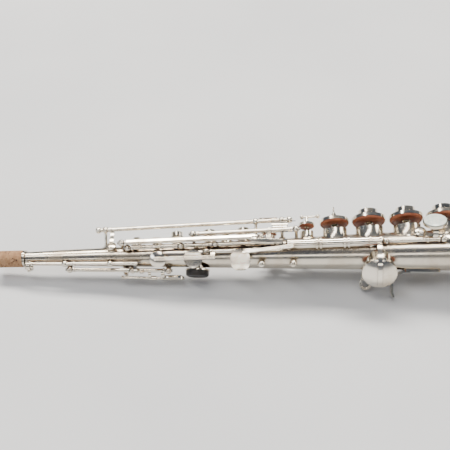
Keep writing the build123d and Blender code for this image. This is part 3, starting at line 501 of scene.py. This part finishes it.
def wire(name, points, radius, material, taper=1.0):
    """A round wire through points, thinner towards its end."""
    shape = bmesh.new()
    rings = []
    turns = [turn * 2 * pi / WIRE_SIDES for turn in range(WIRE_SIDES)]
    for index, point in enumerate(points):
        before, after = points[max(index - 1, 0)], points[min(index + 1, len(points) - 1)]
        way = (after - before).normalized()
        side = way.cross(Vector((0, 0, 1)) if abs(way.z) < 0.9 else Vector((0, 1, 0))).normalized()
        other = way.cross(side)
        width = radius * (1 + (taper - 1) * index / (len(points) - 1))
        rings.append([shape.verts.new(point + (side * cos(turn) + other * sin(turn)) * width)
                      for turn in turns])
    for lower, upper in zip(rings, rings[1:]):
        for index in range(WIRE_SIDES):
            following = (index + 1) % WIRE_SIDES
            shape.faces.new((lower[index], lower[following], upper[following], upper[index]))
    shape.faces.new(rings[0])
    shape.faces.new(rings[-1])
    return finished(shape, name, material)


def near_line(node, start, way, reach):
    """The stretch of a hinge line that a key's tube covers, and how thick the tube is."""
    part = frame["nodes"][node]
    spots = [part.matrix_world @ vert.co - start for vert in part.data.vertices]
    rows = [(spot.dot(way), (spot - way * spot.dot(way)).length) for spot in spots]
    close = [row for row in rows if row[1] < reach]
    low, high = min(row[0] for row in close), max(row[0] for row in close)
    ends = [row[1] for row in close if row[0] > high - 0.05 * MM]
    return low, high, max(ends)


def needle_springs():
    """A blued steel needle from a post along each key tube, bearing on a small cradle on the tube."""
    for joint in frame["record"]["behaviour"]["joints"]:
        start = Vector(joint["pos_m"])
        way = Vector(joint["axis"]).normalized()
        way = way if way.x > 0 else -way
        metal = next(node for node in frame["record"]["behaviour"]["bodies"][joint["child"]]
                     if node.endswith(("_key", "_lever")))
        low, high, thick = near_line(metal, start, way, TUBE_REACH)
        inward = Vector((0, -start.y, -start.z)).normalized()
        inward = (inward - way * inward.dot(way)).normalized()
        length = min(SPRING_SHARE * (high - low), SPRING_LONGEST)
        root = start + way * (high + SPRING_PAST) + inward * (thick + SPRING_ROOT_CLEAR)
        tip = start + way * (high - length) + inward * (thick + SPRING_TIP_CLEAR)
        bend = (root * 2 + tip) / 3 + inward * SPRING_BOW
        spring = wire(f"spring_{joint['child']}", [root, bend, (root + tip) / 2, (root + tip * 3) / 4, tip],
                      SPRING_RADIUS, BLUED, SPRING_TAPER)
        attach(spring, "horn")
        side = way.cross(inward)
        base = (start + way * (high - length + CRADLE_INSET) + side * CRADLE_ASIDE
                + inward * (thick - CRADLE_SINK))
        cradle = turned([(0.0, 0.0), (0.42 * MM, 0.0), (0.42 * MM, 0.9 * MM), (0.58 * MM, 1.1 * MM),
                         (0.50 * MM, 1.35 * MM), (0.0, 1.4 * MM)], f"cradle_{joint['child']}", base, inward,
                        KEY_SILVER, CRADLE_SIDES)
        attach(cradle, joint["child"])


# --- stage, light and camera ---
# name, place from the middle of the horn, width, depth, power, colour: all before LIGHT_REACH
SOFT_BOXES = [
    ("key_light", (0.05, 0.62, 1.00), 1.5, 0.30, 36.0, (1.0, 0.95, 0.87)),
    ("top_light", (-0.20, -0.28, 1.15), 1.1, 0.16, 8.5, (1.0, 0.97, 0.93)),
    ("front_light", (-0.15, -1.05, 0.50), 0.9, 0.12, 1.6, (1.0, 0.96, 0.90)),
    ("fill_light", (-0.95, -0.60, 0.55), 0.5, 0.4, 3.0, (0.84, 0.91, 1.0)),
    ("end_light", (1.35, -0.15, 0.60), 0.5, 0.7, 8.0, (1.0, 0.95, 0.88)),
]


def resting_slope(rim):
    """The steepest rise, from the bell rim back to the cork, of a plane that passes under every piece."""
    slopes = []
    for part in frame["nodes"].values():
        for vert in part.data.vertices:
            place = part.matrix_world @ vert.co
            if place.x < rim.x - FLOOR_CLEAR:
                slopes.append((place.z - rim.z) / (rim.x - place.x))
    return min(slopes)


def lay_floor(low, high):
    """A pale floor that the bell rim and the lowest key touch, as the horn would lie on a table."""
    rim = Vector((high.x, 0, low.z - FLOOR_GAP))
    mesh = bpy.data.meshes.new("floor")
    shape = bmesh.new()
    bmesh.ops.create_grid(shape, x_segments=2, y_segments=2, size=FLOOR_SIZE)
    shape.to_mesh(mesh)
    shape.free()
    floor = bpy.data.objects.new("floor", mesh)
    bpy.context.scene.collection.objects.link(floor)
    floor.matrix_world = Matrix.Translation(rim) @ Matrix.Rotation(atan2(resting_slope(rim), 1.0), 4, "Y")
    mesh.materials.append(FLOOR)


def studio_sky():
    """Dim overhead and paler towards the horizon."""
    world = bpy.data.worlds.new("studio")
    bpy.context.scene.world = world
    world.use_nodes = True
    nodes, links = world.node_tree.nodes, world.node_tree.links
    direction = add_node(nodes, "ShaderNodeTexCoord")
    height = add_node(nodes, "ShaderNodeSeparateXYZ")
    links.new(direction.outputs["Generated"], height.inputs["Vector"])
    color = ramp(nodes, links, height.outputs["Z"],
                 [(0.0, (0.30, 0.32, 0.35)), (0.30, (0.085, 0.10, 0.13))])
    links.new(color, nodes["Background"].inputs["Color"])


def floor_and_light():
    """The floor under five soft boxes, set far back so that their light falls evenly."""
    low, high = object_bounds()
    lay_floor(low, high)
    middle = (low + high) / 2
    for name, place, width, depth, power, tint in SOFT_BOXES:
        data = bpy.data.lights.new(name, "AREA")
        data.shape = "RECTANGLE"
        data.size, data.size_y = width * LIGHT_REACH, depth * LIGHT_REACH
        data.energy, data.color = power * LIGHT_REACH ** 2, tint
        light = bpy.data.objects.new(name, data)
        bpy.context.scene.collection.objects.link(light)
        light.location = middle + Vector(place) * LIGHT_REACH
        light.rotation_euler = (middle - light.location).to_track_quat("-Z", "Y").to_euler()
    studio_sky()


def photo_camera():
    data = bpy.data.cameras.new("photo_camera")
    data.lens, data.sensor_width = CAMERA_LENS, SENSOR
    data.shift_y = CAMERA_LIFT
    data.clip_start = 0.02
    camera = bpy.data.objects.new("photo_camera", data)
    bpy.context.scene.collection.objects.link(camera)
    level = cos(CAMERA_ELEVATION)
    toward = Vector((sin(CAMERA_AZIMUTH) * level, -cos(CAMERA_AZIMUTH) * level, sin(CAMERA_ELEVATION)))
    turn = toward.to_track_quat("Z", "Y").to_matrix().to_4x4()
    camera.matrix_world = (Matrix.Translation(CAMERA_AIM + toward * CAMERA_DISTANCE) @ turn
                           @ Matrix.Rotation(-CAMERA_ROLL, 4, "Z"))
    bpy.context.scene.camera = camera


all_pads()
rod_ends()
needle_springs()
floor_and_light()
photo_camera()
